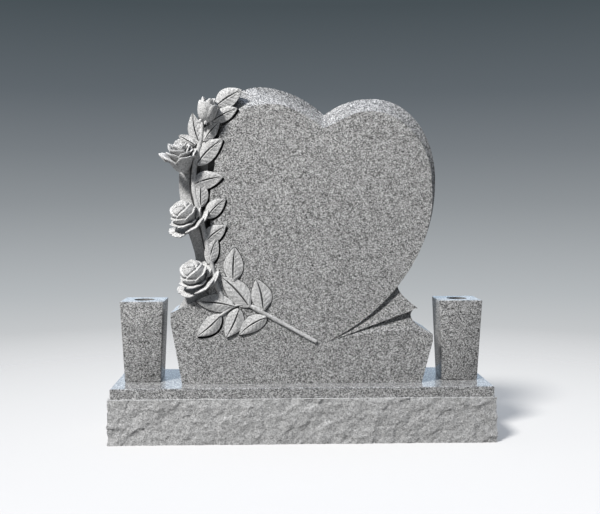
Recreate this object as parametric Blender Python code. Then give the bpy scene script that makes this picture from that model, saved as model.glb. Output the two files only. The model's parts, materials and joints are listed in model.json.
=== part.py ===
"""Heart-shaped granite headstone with carved roses, on a rock-faced base with two flower vases.

Metres, +Z up. The front faces -Y, +X is the viewer's right, and the origin is the centre of
the base's underside. Carving is placed by shares of the tablet: (across, up) with across
measured from the centre line in tablet widths and up measured from its foot in tablet heights.
"""
import math

import bmesh
import bpy
from mathutils import Vector, noise

# Tablet, the upright stone
TABLET_WIDTH = 0.730
TABLET_HEIGHT = 0.826
TABLET_THICKNESS = 0.165
FOOT_WIDTH = 0.670
LEFT_SHOULDER_HEIGHT = 0.199
RIGHT_SHOULDER_HEIGHT = 0.136
SHOULDER_RISE = 0.031
SHOULDER_RUN = 0.065
SIDE_STRAIGHT_SHARE = 0.85
ARRIS = 0.0015

# Carving on the tablet
GROUND_SINK = 0.045
GROUND_RIM = 0.004
GROUND_TOP_SINK = 0.012
GROUND_COVE = 1.5
FLUTE_DEPTH = 0.015
FLUTE_DROP = 0.10
FLUTE_HOLLOW = 0.019
FLUTE_STEP = 0.0006
LEAF_HEIGHT = 0.007
LEAF_FOOT_DEPTH = 0.012
LEAF_PLATE_DEPTH = 0.005
LEAF_ROOT_SHARE = 0.45
LEAF_GROOVE = 0.003
PETAL_THICKNESS = 0.006
STEM_RADIUS = 0.0065
STEM_WEB_RADIUS = 0.014
STEM_WEB_DEPTH = 0.022
ROOT_OVERLAP = 0.005

# Vases
VASE_TOP_WIDTH = 0.121
VASE_FOOT_WIDTH = 0.100
VASE_HEIGHT = 0.228
VASE_BORE_DIAMETER = 0.058
VASE_BORE_DEPTH = 0.150
VASE_ARRIS = 0.002
VASE_TABLET_GAP = 0.023
VASE_END_MARGIN = 0.0155

# Base
BASE_HEIGHT = 0.154
BASE_STEP = 0.060
MARGIN_HEIGHT = 0.029
ROCK_PROUD = 0.010
ROCK_PITCH = 0.032
ROCK_ROWS = 4
ROCK_FACET = 0.075
ROCK_SLANT = 28
ROCK_STRETCH = 0.42
ROCK_SEED = 7

SEAT_GAP = 0.0003

# Sizes that follow from the ones above
VASE_X = TABLET_WIDTH / 2 + VASE_TABLET_GAP + VASE_TOP_WIDTH / 2
BASE_LENGTH = 2 * (VASE_X + VASE_TOP_WIDTH / 2 + VASE_END_MARGIN)
BASE_DEPTH = TABLET_THICKNESS + 2 * BASE_STEP
SEAT_Z = BASE_HEIGHT + SEAT_GAP
FACE_Y = -TABLET_THICKNESS / 2
BACK_Y = TABLET_THICKNESS / 2

# The heart's edge, clockwise from the cleft, as curves of four points in shares of the tablet
HEART_OUTER = {
    "right_top": ((0.083, 0.904), (0.118, 0.922), (0.166, 0.958), (0.267, 0.958)),
    "right_side": ((0.267, 0.958), (0.436, 0.958), (0.507, 0.812), (0.507, 0.685)),
    "right_foot": ((0.507, 0.685), (0.507, 0.399), (0.276, 0.214), (0.086, 0.137)),
    "left_side": ((-0.329, 0.734), (-0.329, 0.900), (-0.270, 1.000), (-0.164, 1.000)),
    "left_top": ((-0.164, 1.000), (-0.071, 1.000), (0.027, 0.960), (0.083, 0.904)),
}
HEART_INNER = {
    "right_top": ((0.081, 0.857), (0.163, 0.885), (0.182, 0.914), (0.264, 0.914)),
    "right_side": ((0.264, 0.914), (0.366, 0.914), (0.491, 0.811), (0.491, 0.679)),
    "left_side": ((-0.329, 0.734), (-0.329, 0.863), (-0.246, 0.937), (-0.116, 0.937)),
    "left_top": ((-0.116, 0.937), (-0.043, 0.938), (0.062, 0.872), (0.081, 0.857)),
}
BEVEL_FADE = 0.35

# Where the polished face ends under the leaves, and the edge of the stone behind the roses
FACE_EDGE = ((-0.329, 0.734), (-0.322, 0.640), (-0.308, 0.540), (-0.303, 0.440), (-0.322, 0.350), (-0.372, 0.285))
STONE_EDGE = ((-0.164, 0.994), (-0.260, 0.978), (-0.352, 0.925), (-0.420, 0.850), (-0.458, 0.765), (-0.470, 0.690),
              (-0.464, 0.610), (-0.448, 0.540), (-0.424, 0.475), (-0.409, 0.420), (-0.412, 0.360), (-0.440, 0.302),
              (-0.484, 0.244))

# The fan of two flutes that opens to the right from the heart's point
FAN_START = 0.478
FAN_RIDGE_END = (0.4415, 0.2535)
FAN_LOWER = ((0.086, 0.137), (0.205, 0.168), (0.370, 0.193))

# Leaves: base, tip and width as a share of the length
LEAVES = {
    "upper_spray": (
        ((-0.382, 0.800), (-0.410, 0.905), 0.42), ((-0.400, 0.800), (-0.462, 0.832), 0.55),
        ((-0.322, 0.928), (-0.226, 0.982), 0.60), ((-0.335, 0.880), (-0.243, 0.921), 0.52),
        ((-0.368, 0.812), (-0.310, 0.877), 0.50), ((-0.396, 0.736), (-0.298, 0.820), 0.50),
    ),
    "middle_spray": (
        ((-0.414, 0.668), (-0.299, 0.695), 0.55), ((-0.382, 0.596), (-0.380, 0.686), 0.52),
        ((-0.360, 0.560), (-0.289, 0.622), 0.55), ((-0.368, 0.478), (-0.288, 0.533), 0.60),
        ((-0.352, 0.405), (-0.322, 0.492), 0.50),
    ),
    "lower_spray": (
        ((-0.262, 0.349), (-0.255, 0.461), 0.58), ((-0.202, 0.262), (-0.305, 0.362), 0.52),
        ((-0.260, 0.264), (-0.402, 0.280), 0.46), ((-0.310, 0.233), (-0.401, 0.163), 0.50),
        ((-0.240, 0.254), (-0.291, 0.158), 0.58), ((-0.137, 0.226), (-0.240, 0.168), 0.50),
        ((-0.148, 0.249), (-0.174, 0.355), 0.62),
    ),
}
STEMS = (
    ((0.052, 0.141), (-0.132, 0.232), (-0.198, 0.263), (-0.250, 0.266), (-0.312, 0.232)),
    ((-0.372, 0.905), (-0.380, 0.820), (-0.402, 0.740), (-0.408, 0.660), (-0.392, 0.590)),
    ((-0.392, 0.590), (-0.372, 0.520), (-0.352, 0.440), (-0.330, 0.350), (-0.300, 0.280)),
)

# Leaves whose base lies further left than this stand over the sunk ground, on roots
ROOTED_LEFT_OF = -0.28

# Flared petals: turn round the flower in degrees (0 right, -90 near), half width in degrees,
# and in shares of the flower's radius the reach of the lip, its level and the level of the root
ROSE_PETALS = (
    (-60, 62, 0.60, 0.30, -0.50), (65, 60, 0.48, 0.44, -0.50), (175, 58, 0.55, 0.36, -0.50),
    (-28, 50, 0.78, 0.05, -0.70), (-150, 48, 0.80, -0.22, -0.75), (-88, 50, 0.84, -0.30, -0.80),
    (30, 46, 0.92, -0.20, -0.85), (-48, 48, 1.04, -0.52, -0.95), (0, 40, 1.18, -0.50, -1.00),
    (75, 40, 1.05, -0.45, -0.95),
)
CUP_PETALS = (
    (-100, 62, 0.53, 0.28, -0.50), (20, 60, 0.44, 0.40, -0.50), (135, 58, 0.50, 0.34, -0.50),
    (-40, 52, 0.72, 0.02, -1.00), (-62, 54, 0.88, -0.16, -1.10), (-158, 46, 1.02, -0.16, -1.12),
    (10, 40, 0.96, -0.06, -1.10), (90, 60, 0.86, 0.10, -1.05),
)
BUD_PETALS = (
    (-70, 62, 0.86, 0.42, -0.85), (20, 46, 0.92, 0.34, -0.90), (150, 56, 0.84, 0.36, -0.85),
    (-90, 40, 0.50, 0.98, -0.50), (60, 40, 0.58, 1.00, -0.50),
)

# Flowers: petals, place, radius as a share of the tablet's width, and in shares of that radius
# how far it stands out and the size of its heart; how open its petals are; and the way it
# faces (right, front, up)
FLOWERS = {
    "bud": (BUD_PETALS, (-0.3502, 0.9115), 0.0438, 0.56, 0.90, 0.92, (0.22, 0.42, 0.90)),
    "top_rose": (CUP_PETALS, (-0.4525, 0.7925), 0.0712, 0.19, 0.58, 0.66, (-0.18, 0.36, 0.93)),
    "middle_rose": (ROSE_PETALS, (-0.4525, 0.5800), 0.0767, 0.14, 0.64, 0.66, (-0.42, 0.52, 0.74)),
    "lower_rose": (ROSE_PETALS, (-0.4170, 0.3815), 0.0781, 0.14, 0.64, 0.66, (-0.36, 0.56, 0.74)),
}

# Finishes: colour, roughness, metallic
FINISHES = {
    "base_granite": ((0.46, 0.47, 0.48, 1.0), 0.75, 0.0),
    "headstone_granite": ((0.34, 0.34, 0.35, 1.0), 0.35, 0.0),
    "vase_granite": ((0.38, 0.38, 0.39, 1.0), 0.35, 0.0),
}


def clear_scene():
    for item in list(bpy.data.objects):
        bpy.data.objects.remove(item, do_unlink=True)


def finish(name):
    colour, roughness, metallic = FINISHES[name]
    material = bpy.data.materials.get(name) or bpy.data.materials.new(name)
    material.use_nodes = True
    shader = material.node_tree.nodes["Principled BSDF"]
    shader.inputs["Base Color"].default_value = colour
    shader.inputs["Roughness"].default_value = roughness
    shader.inputs["Metallic"].default_value = metallic
    return material


def make_object(name, shape, material=None):
    """Turn a closed bmesh into an object with its faces turned outward."""
    shape.normal_update()
    bmesh.ops.recalc_face_normals(shape, faces=shape.faces)
    if shape.calc_volume(signed=True) < 0:
        bmesh.ops.reverse_faces(shape, faces=shape.faces)
    mesh = bpy.data.meshes.new(name)
    shape.to_mesh(mesh)
    shape.free()
    item = bpy.data.objects.new(name, mesh)
    bpy.context.scene.collection.objects.link(item)
    if material:
        mesh.materials.append(finish(material))
    return item


def combine(target, tool, operation):
    """Join a hidden shape to the target, or cut it away."""
    tool.hide_render = True
    tool.display_type = "WIRE"
    step = target.modifiers.new(tool.name, "BOOLEAN")
    step.operation = operation
    step.solver = "EXACT"
    step.object = tool


def drop_pockets(shape):
    """Keep the outer skin, and remove the skins of pockets sealed between overlapping pieces."""
    unseen = set(shape.faces)
    skins = []
    while unseen:
        skin = [unseen.pop()]
        for face in skin:
            near = {other for edge in face.edges if len(edge.link_faces) == 2 for other in edge.link_faces}
            found = near & unseen
            unseen -= found
            skin.extend(found)
        skins.append(skin)
    skins.sort(key=len)
    inner = [face for skin in skins[:-1] for face in skin]
    bmesh.ops.delete(shape, geom=inner, context="FACES")


def unite(name, shapes, material):
    """One closed body from many closed shapes. EXACT leaves holes where so many overlap, MANIFOLD doesn't."""
    parts = bpy.data.collections.new(name + "_parts")
    bpy.context.scene.collection.children.link(parts)
    for number, shape in enumerate(shapes[1:]):
        piece = make_object(f"{name}_part_{number}", shape)
        bpy.context.scene.collection.objects.unlink(piece)
        parts.objects.link(piece)
    body = make_object(name, shapes[0], material)
    join = body.modifiers.new("unite", "BOOLEAN")
    join.operation = "UNION"
    join.solver = "MANIFOLD"
    join.operand_type = "COLLECTION"
    join.collection = parts
    evaluated = body.evaluated_get(bpy.context.evaluated_depsgraph_get())
    whole = bmesh.new()
    whole.from_mesh(evaluated.to_mesh())
    evaluated.to_mesh_clear()
    body.modifiers.clear()
    bmesh.ops.triangulate(whole, faces=whole.faces)
    drop_pockets(whole)
    whole.to_mesh(body.data)
    whole.free()
    body.data.materials.clear()
    body.data.materials.append(finish(material))
    for piece in list(parts.objects):
        bpy.data.objects.remove(piece, do_unlink=True)
    bpy.data.collections.remove(parts)
    return body


def bezier(points, steps):
    """Points along a curve of four control points, the last one left out."""
    a, b, c, d = (Vector(p) for p in points)
    path = []
    for i in range(steps):
        t = i / steps
        s = 1 - t
        path.append(a * s ** 3 + b * (3 * s * s * t) + c * (3 * s * t * t) + d * t ** 3)
    return path


def spline(points, steps):
    """A smooth curve through all the points, with the last one kept."""
    nodes = [Vector(p) for p in points]
    nodes = [nodes[0] * 2 - nodes[1]] + nodes + [nodes[-1] * 2 - nodes[-2]]
    path = []
    spans = len(nodes) - 3
    for i in range(steps + 1):
        place = min(i / steps * spans, spans - 1e-9)
        k = int(place)
        t = place - k
        a, b, c, d = nodes[k:k + 4]
        path.append(0.5 * (2 * b + (c - a) * t + (2 * a - 5 * b + 4 * c - d) * t * t
                           + (3 * b - a - 3 * c + d) * t ** 3))
    return path


def on_tablet(share, depth=0.0):
    """A point on the tablet's face, moved back by the depth."""
    return Vector((share[0] * TABLET_WIDTH, FACE_Y + depth, SEAT_Z + share[1] * TABLET_HEIGHT))


def closed_rings(rings):
    """A closed body through rings of equal counts, with flat ends."""
    shape = bmesh.new()
    loops = [[shape.verts.new(p) for p in ring] for ring in rings]
    count = len(loops[0])
    for lower, upper in zip(loops, loops[1:]):
        for i in range(count):
            j = (i + 1) % count
            shape.faces.new((lower[i], lower[j], upper[j], upper[i]))
    shape.faces.new(loops[0])
    shape.faces.new(list(reversed(loops[-1])))
    return shape


def grid_rim(rows, columns):
    """The places around the edge of a grid, in order."""
    rim = [(0, j) for j in range(columns)] + [(i, columns - 1) for i in range(1, rows)]
    return rim + [(rows - 1, j) for j in range(columns - 2, -1, -1)] + [(i, 0) for i in range(rows - 2, 0, -1)]


def closed_relief(front, back_y, plate_y=None):
    """A closed body under a grid, with upright walls down to a flat back.

    With plate_y the walls end there, and a narrower root goes on to the back.
    """
    shape = bmesh.new()
    grid = [[shape.verts.new(p) for p in row] for row in front]
    rows = len(front)
    columns = len(front[0])
    for i in range(rows - 1):
        for j in range(columns - 1):
            shape.faces.new((grid[i][j], grid[i + 1][j], grid[i + 1][j + 1], grid[i][j + 1]))
    loops = [[grid[i][j] for i, j in grid_rim(rows, columns)]]
    levels = [(back_y, 1.0)]
    if plate_y is not None:
        levels = [(plate_y, 1.0), (back_y, LEAF_ROOT_SHARE)]
    middle = sum((v.co for v in loops[0]), Vector()) / len(loops[0])
    for y, share in levels:
        spots = [middle.lerp(v.co, share) for v in loops[0]]
        loops.append([shape.verts.new((p.x, y, p.z)) for p in spots])
    for upper, lower in zip(loops, loops[1:]):
        for k in range(len(upper)):
            m = (k + 1) % len(upper)
            shape.faces.new((upper[k], upper[m], lower[m], lower[k]))
    shape.faces.new(list(reversed(loops[-1])))
    return shape


def closed_slab(front, back):
    """A closed body between two grids of equal size, joined around their edges."""
    shape = bmesh.new()
    sheets = [[[shape.verts.new(p) for p in row] for row in grid] for grid in (front, back)]
    rows = len(front)
    columns = len(front[0])
    for sheet in sheets:
        for i in range(rows - 1):
            for j in range(columns - 1):
                shape.faces.new((sheet[i][j], sheet[i + 1][j], sheet[i + 1][j + 1], sheet[i][j + 1]))
    rim = grid_rim(rows, columns)
    for k, (i, j) in enumerate(rim):
        m, n = rim[(k + 1) % len(rim)]
        shape.faces.new((sheets[0][i][j], sheets[0][m][n], sheets[1][m][n], sheets[1][i][j]))
    return shape


def heart_edges(steps):
    """The heart's outline at the back of its bevel and on its face, point for point."""
    outer = []
    inner = []
    for name in ("right_top", "right_side"):
        outer += bezier(HEART_OUTER[name], steps)
        inner += bezier(HEART_INNER[name], steps)
    foot = bezier(HEART_OUTER["right_foot"], 2 * steps)
    shift = Vector(HEART_INNER["right_side"][3]) - Vector(HEART_OUTER["right_side"][3])
    for i, point in enumerate(foot):
        fade = max(0.0, 1 - i / (2 * steps) / BEVEL_FADE)
        outer.append(point)
        inner.append(point + shift * fade * fade)
    under_leaves = [Vector((0.086, 0.137)), Vector((-0.250, 0.137))] + list(reversed(spline(FACE_EDGE, steps)))[:-1]
    outer += under_leaves
    inner += under_leaves
    for name in ("left_side", "left_top"):
        outer += bezier(HEART_OUTER[name], steps)
        inner += bezier(HEART_INNER[name], steps)
    return outer, inner


def heart_body(steps):
    outer, inner = heart_edges(steps)
    rings = [[], [], []]
    for low, high in zip(outer, inner):
        edge = on_tablet(low)
        face = on_tablet(high)
        depth = max((edge - face).length, ARRIS)
        rings[0].append(face)
        rings[1].append(edge + Vector((0, depth, 0)))
        rings[2].append(Vector((edge.x, BACK_Y, edge.z)))
    return closed_rings(rings)


def lower_body(steps):
    """The tapered lower part, cut to the fan's lower edge on the right."""
    half_foot = FOOT_WIDTH / 2
    half = TABLET_WIDTH / 2
    lean = SIDE_STRAIGHT_SHARE
    fan = [(p.x * TABLET_WIDTH, p.y * TABLET_HEIGHT) for p in fan_lower_edge(steps)]
    outline = [(-half_foot, 0), (half_foot, 0), (half, RIGHT_SHOULDER_HEIGHT * lean)]
    outline += list(reversed(fan))
    outline += [(-half + SHOULDER_RUN, LEFT_SHOULDER_HEIGHT + SHOULDER_RISE), (-half, LEFT_SHOULDER_HEIGHT)]
    outline += [(-half, LEFT_SHOULDER_HEIGHT * lean)]
    rings = [[Vector((x, y, SEAT_Z + z)) for x, z in outline] for y in (FACE_Y, BACK_Y)]
    return closed_rings(rings)


def fan_lower_edge(steps):
    end = (0.5, RIGHT_SHOULDER_HEIGHT / TABLET_HEIGHT)
    return bezier(FAN_LOWER + (end,), steps) + [Vector(end)]


def flute_depth(across):
    """A steep drop, then a hollow that sweeps back up to the next ridge."""
    if across < FLUTE_DROP:
        return math.sin(across / FLUTE_DROP * math.pi / 2)
    rise = (across - FLUTE_DROP) / (1 - FLUTE_DROP)
    return 1 - rise ** 1.3


def fan_body(steps, across_steps):
    """Two flutes that open from the heart's point to the right edge of the stone."""
    foot = HEART_OUTER["right_foot"]
    fine = bezier(foot, 400) + [Vector(foot[3])]
    start = int(FAN_START * 400)
    upper = [fine[round(400 - (400 - start) * i / steps)] for i in range(steps + 1)]
    ridge = [Vector(foot[3]).lerp(Vector(FAN_RIDGE_END), i / steps) for i in range(steps + 1)]
    lower = fan_lower_edge(steps)
    heart_middle = Vector((0.083, 0.50))
    front = []
    for i in range(1, steps + 1):
        along = i / steps
        row = [on_tablet(upper[i].lerp(heart_middle, 0.05), GROUND_RIM)]
        for side, (high, low) in enumerate(((upper[i], ridge[i]), (ridge[i], lower[i]))):
            first = 0 if side == 0 else 1
            for k in range(first, across_steps + 1):
                across = (k / across_steps) ** 1.6
                hollow = FLUTE_HOLLOW * along ** 2 * math.sin(math.pi * across ** 0.8)
                point = on_tablet(high.lerp(low, across), FLUTE_STEP + FLUTE_DEPTH * along * flute_depth(across))
                point.x -= hollow
                row.append(point)
        row.append(on_tablet(lower[i] - Vector((0.0, 0.02)), GROUND_RIM))
        front.append(row)
    root = Vector(foot[3]) - Vector((0.01, 0.0))
    low = on_tablet(root - Vector((0.0, 0.02)), GROUND_RIM)
    high = on_tablet(root + Vector((0.0, 0.02)), GROUND_RIM)
    count = len(front[0]) - 1
    front.insert(0, [high.lerp(low, k / count) for k in range(count + 1)])
    return closed_relief(front, BACK_Y)


def ground_body(steps, across_steps):
    """The sunk ground behind the roses, coved down from the edge of the polished face."""
    left_lobe = bezier(HEART_INNER["left_side"], 8)
    near = spline([(-0.150, 0.900)] + [p - Vector((0, 0.02)) for p in reversed(left_lobe[1::3])]
                  + list(FACE_EDGE) + [(-0.400, 0.200)], steps)
    far = spline(STONE_EDGE, steps)
    front = []
    for i in range(steps + 1):
        row = []
        for k in range(across_steps + 1):
            across = k / across_steps
            inset = near[i] + Vector((0.05, 0))
            depth = GROUND_RIM + (GROUND_SINK - GROUND_RIM) * (1 - (1 - across) ** GROUND_COVE)
            depth += GROUND_TOP_SINK * max(0.0, 1 - i / steps * 6)
            row.append(on_tablet(inset.lerp(far[i], across), depth))
        front.append(row)
    return closed_relief(front, BACK_Y)


def leaf(base, tip, width, steps=5):
    """A leaf with a grooved midrib, domed to both sides, sunk into the stone or on a root."""
    start = on_tablet(base)
    end = on_tablet(tip)
    run = end - start
    side = Vector((run.z, 0, -run.x))
    front = []
    for i in range(steps + 1):
        t = 0.02 + 0.98 * i / steps
        half = 0.5 * width * math.sin(math.pi * t ** 0.85) ** 0.85 + 0.012
        middle = start + run * t
        row = []
        for across in (-1, -0.5, 0, 0.5, 1):
            height = LEAF_HEIGHT * (1 - 0.45 * abs(across) ** 2)
            if across == 0:
                height -= LEAF_GROOVE
            point = middle + side * half * across
            row.append(Vector((point.x, FACE_Y - height, point.z)))
        front.append(row)
    if base[0] < ROOTED_LEFT_OF:
        return closed_relief(front, FACE_Y + GROUND_SINK + ROOT_OVERLAP, FACE_Y + LEAF_PLATE_DEPTH)
    return closed_relief(front, FACE_Y + LEAF_FOOT_DEPTH)


def tube(path, radii, sides=6):
    """A closed round bar along a path, kept level with the stone's face."""
    rings = []
    for i, point in enumerate(path):
        ahead = path[min(i + 1, len(path) - 1)] - path[max(i - 1, 0)]
        side = ahead.cross(Vector((0, 1, 0))).normalized()
        rise = side.cross(ahead).normalized()
        turn = [2 * math.pi * k / sides for k in range(sides)]
        rings.append([point + (side * math.cos(a) + rise * math.sin(a)) * radii[i] for a in turn])
    return closed_rings(rings)


def stem(points, steps=8):
    path = [on_tablet(p, STEM_RADIUS * 0.1) for p in spline(points, steps)]
    radii = [STEM_RADIUS * (1.1 - 0.5 * i / steps) for i in range(steps + 1)]
    return tube(path, radii)


def stem_web(points, steps=8):
    """The stone left between a stem and the ground."""
    path = [on_tablet(p, STEM_WEB_DEPTH) for p in spline(points, steps)]
    return tube(path, [STEM_WEB_RADIUS] * (steps + 1))


def flower_frame(axis):
    """The way the flower faces, and the right and upward directions square to it."""
    facing = Vector((axis[0], -axis[1], axis[2])).normalized()
    right = (Vector((1, 0, 0)) - facing * facing.x).normalized()
    return facing, right, facing.cross(right)


def petal(centre, axes, radius, row, flare, rows=3, columns=4):
    """A petal that rises from the root as a cup and turns out into a flared lip."""
    turn, half, reach, level, root = row
    facing, right, up = axes
    front = []
    back = []
    for k in range(columns + 1):
        u = 2 * k / columns - 1
        angle = math.radians(turn + half * u)
        out = right * math.cos(angle) + up * math.sin(angle)
        lip = level - 0.30 * (level - root) * abs(u) ** 3.5
        far = reach * (1 - 0.16 * abs(u) ** 3)
        profile = ((0.12, root), (far * 0.95 * flare, root + 0.05), (far * flare * 0.90, lip + 0.02), (far, lip - 0.03))
        curve = bezier(profile, rows) + [Vector(profile[3])]
        top = []
        under = []
        for i, place in enumerate(curve):
            along = curve[min(i + 1, rows)] - curve[max(i - 1, 0)]
            outer = Vector((along.y, -along.x)).normalized()
            low = place + outer * PETAL_THICKNESS / radius * (1.3 - 0.6 * i / rows)
            top.append(centre + (out * place.x + facing * place.y) * radius)
            under.append(centre + (out * low.x + facing * low.y) * radius)
        front.append(top)
        back.append(under)
    return closed_slab(front, back)


def ball(centre, radius, axes, segments=9, rings=6):
    """A closed rounded heart of a flower."""
    facing, right, up = axes
    shape = bmesh.new()
    bmesh.ops.create_uvsphere(shape, u_segments=segments, v_segments=rings, radius=radius)
    for vertex in shape.verts:
        x, y, z = vertex.co
        vertex.co = centre + right * x + up * y + facing * z
    return shape


def flower(petals, place, share, lift, heart, flare, axis):
    radius = share * TABLET_WIDTH
    centre = on_tablet(place, -lift * radius)
    axes = flower_frame(axis)
    root = centre + axes[0] * radius * min(row[4] for row in petals) * 0.85
    back = Vector((root.x + radius * 0.2, FACE_Y + GROUND_SINK + ROOT_OVERLAP, root.z + radius * 0.1))
    shapes = [ball(centre, radius * heart * 0.94, axes), tube([root, back], [radius * 0.22, radius * 0.5], 8)]
    shapes.append(tube([centre, root], [radius * heart * 0.6, radius * 0.2], 8))
    return shapes + [petal(centre, axes, radius, row, flare) for row in petals]


def build_headstone():
    shapes = [lower_body(10), heart_body(8), ground_body(16, 4), fan_body(10, 5)]
    for spray in LEAVES.values():
        shapes += [leaf(*item) for item in spray]
    shapes += [stem(points) for points in STEMS] + [stem_web(points) for points in STEMS[1:]]
    for item in FLOWERS.values():
        shapes += flower(*item)
    return unite("headstone", shapes, "headstone_granite")


def build_vase(name, side):
    half_top = VASE_TOP_WIDTH / 2
    half_foot = VASE_FOOT_WIDTH / 2
    corners = ((-1, -1), (1, -1), (1, 1), (-1, 1))
    levels = ((half_foot, 0), (half_top, VASE_HEIGHT - VASE_ARRIS), (half_top - VASE_ARRIS, VASE_HEIGHT))
    rings = [[Vector((x * half, y * half, z)) for x, y in corners] for half, z in levels]
    vase = make_object(name, closed_rings(rings), "vase_granite")
    bore = bmesh.new()
    bmesh.ops.create_cone(bore, cap_ends=True, segments=32, radius1=VASE_BORE_DIAMETER / 2,
                          radius2=VASE_BORE_DIAMETER / 2, depth=VASE_BORE_DEPTH * 2)
    for face in bore.faces:
        face.smooth = len(face.verts) == 4
    cutter = make_object(name + "_bore", bore)
    combine(vase, cutter, "DIFFERENCE")
    for item in (vase, cutter):
        item.location = (side * VASE_X, 0, SEAT_Z)
    cutter.location.z += VASE_HEIGHT
    return vase


def rock_relief(along, z):
    """How far the split face stands out, from 0 to 1: tilted flats that meet in slanting ledges."""
    slant = math.radians(ROCK_SLANT)
    spot = Vector(((along * math.cos(slant) + z * math.sin(slant)) / ROCK_FACET * ROCK_STRETCH,
                   (z * math.cos(slant) - along * math.sin(slant)) / ROCK_FACET, ROCK_SEED))
    distances, points = noise.voronoi(spot)
    lean = noise.noise_vector(points[0] * 7.3)
    away = spot - points[0]
    flat = lean.z * 0.6 + away.x * lean.x + away.y * lean.y + 0.5 * distances[0]
    return min(1.0, max(0.1, 0.42 + 0.62 * flat))


def build_base():
    """A smooth margin at the top and a split rock face below it, on all four sides."""
    half_length = BASE_LENGTH / 2
    half_depth = BASE_DEPTH / 2
    corners = ((-half_length, -half_depth), (half_length, -half_depth), (half_length, half_depth),
               (-half_length, half_depth))
    edge = []
    for k in range(4):
        start = Vector(corners[k])
        end = Vector(corners[(k + 1) % 4])
        count = max(4, round((end - start).length / ROCK_PITCH))
        edge += [(start.lerp(end, i / count), i == 0, k) for i in range(count)]
    rock_top = BASE_HEIGHT - MARGIN_HEIGHT
    rings = []
    for row in range(ROCK_ROWS + 1):
        z = rock_top * row / ROCK_ROWS
        ring = []
        for point, is_corner, k in edge:
            outward = Vector(((0, -1), (1, 0), (0, 1), (-1, 0))[k])
            before = Vector(((0, -1), (1, 0), (0, 1), (-1, 0))[k - 1])
            rise = ROCK_PROUD if row == 0 else ROCK_PROUD * rock_relief(point.x + 1.7 * point.y, z)
            if is_corner:
                outward = outward + before
            ring.append(Vector((point.x + outward.x * rise, point.y + outward.y * rise, z)))
        rings.append(ring)
    for z in (rock_top + ARRIS / 3, BASE_HEIGHT - ARRIS):
        rings.append([Vector((p.x, p.y, z)) for p, _, _ in edge])
    share_x = 1 - ARRIS / half_length
    share_y = 1 - ARRIS / half_depth
    rings.append([Vector((p.x * share_x, p.y * share_y, BASE_HEIGHT)) for p, _, _ in edge])
    return make_object("base", closed_rings(rings), "base_granite")


def main():
    clear_scene()
    build_base()
    build_headstone()
    build_vase("left_vase", -1)
    build_vase("right_vase", 1)


main()
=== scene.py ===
"""Looks for the heart-shaped headstone: carved granite, rock-faced base and flower vases.

Metres, +Z up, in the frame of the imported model. Carving is placed by shares of the tablet:
(across, up), across from the centre line in tablet widths and up from its foot in heights.
"""
import json
import math

import bmesh
import bpy
from mathutils import Matrix, Vector, noise

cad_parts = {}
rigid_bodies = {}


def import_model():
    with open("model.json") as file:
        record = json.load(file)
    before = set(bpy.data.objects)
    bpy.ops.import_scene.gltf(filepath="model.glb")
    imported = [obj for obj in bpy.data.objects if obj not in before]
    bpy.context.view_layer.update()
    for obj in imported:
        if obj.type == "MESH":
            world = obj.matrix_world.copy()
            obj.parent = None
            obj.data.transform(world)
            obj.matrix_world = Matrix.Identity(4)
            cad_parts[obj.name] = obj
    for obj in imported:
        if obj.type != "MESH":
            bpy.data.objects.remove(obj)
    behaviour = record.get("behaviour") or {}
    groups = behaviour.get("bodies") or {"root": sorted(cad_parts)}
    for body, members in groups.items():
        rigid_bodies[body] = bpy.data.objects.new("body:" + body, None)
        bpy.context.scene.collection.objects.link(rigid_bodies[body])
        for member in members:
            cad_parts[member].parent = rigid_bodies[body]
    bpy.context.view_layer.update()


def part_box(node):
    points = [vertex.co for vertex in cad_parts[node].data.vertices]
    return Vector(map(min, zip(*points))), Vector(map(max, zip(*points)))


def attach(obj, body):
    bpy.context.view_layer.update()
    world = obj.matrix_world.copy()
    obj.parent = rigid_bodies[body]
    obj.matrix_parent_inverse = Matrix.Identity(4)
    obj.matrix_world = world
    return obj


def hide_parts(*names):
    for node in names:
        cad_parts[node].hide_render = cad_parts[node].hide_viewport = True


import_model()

# Sizes taken from the frame
BASE_LOW, BASE_HIGH = (Vector(corner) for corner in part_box("base"))
STONE_LOW, STONE_HIGH = (Vector(corner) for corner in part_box("headstone"))
SEAT_Z = STONE_LOW.z
TABLET_HEIGHT = STONE_HIGH.z - STONE_LOW.z
BACK_Y = STONE_HIGH.y
FACE_Y = -BACK_Y

# Tablet
TABLET_WIDTH = 0.730
FOOT_WIDTH = 0.670
LEFT_SHOULDER_HEIGHT = 0.199
RIGHT_SHOULDER_HEIGHT = 0.136
SHOULDER_RISE = 0.031
SHOULDER_RUN = 0.065
SIDE_STRAIGHT_SHARE = 0.85
ARRIS = 0.0015

# The sunk ground behind the roses: depths in metres, and shares of its run, width or the tablet
GROUND_SINK = 0.045
GROUND_RIM = 0.004
GROUND_TOP_SINK = 0.012
GROUND_TOP_SHARE = 1 / 6
GROUND_COVE = 1.5
GROUND_START = (-0.135, 0.915)
GROUND_END = (-0.400, 0.200)
GROUND_UNDER_BEVEL = 0.02
GROUND_INSET = 0.05
GROUND_ROUGHNESS = 0.004
GROUND_ROUGH_PITCH = 38
# Share of the ground's width beside the polished face that is painted near-black as shade
GROUND_SHADE_SHARE = 0.42

# The two flutes of the fan
FLUTE_DEPTH = 0.015
FLUTE_DROP = 0.10
FLUTE_SWEEP = 1.3
FLUTE_HOLLOW = 0.033
FLUTE_HOLLOW_BEND = 0.8
FLUTE_STEP = 0.0006
FAN_INSET = 0.05
FAN_OVERLAP = 0.02
FAN_ROOT_SHIFT = 0.01
FAN_FINE_STEPS = 800
HEART_MIDDLE = (0.083, 0.50)

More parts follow.
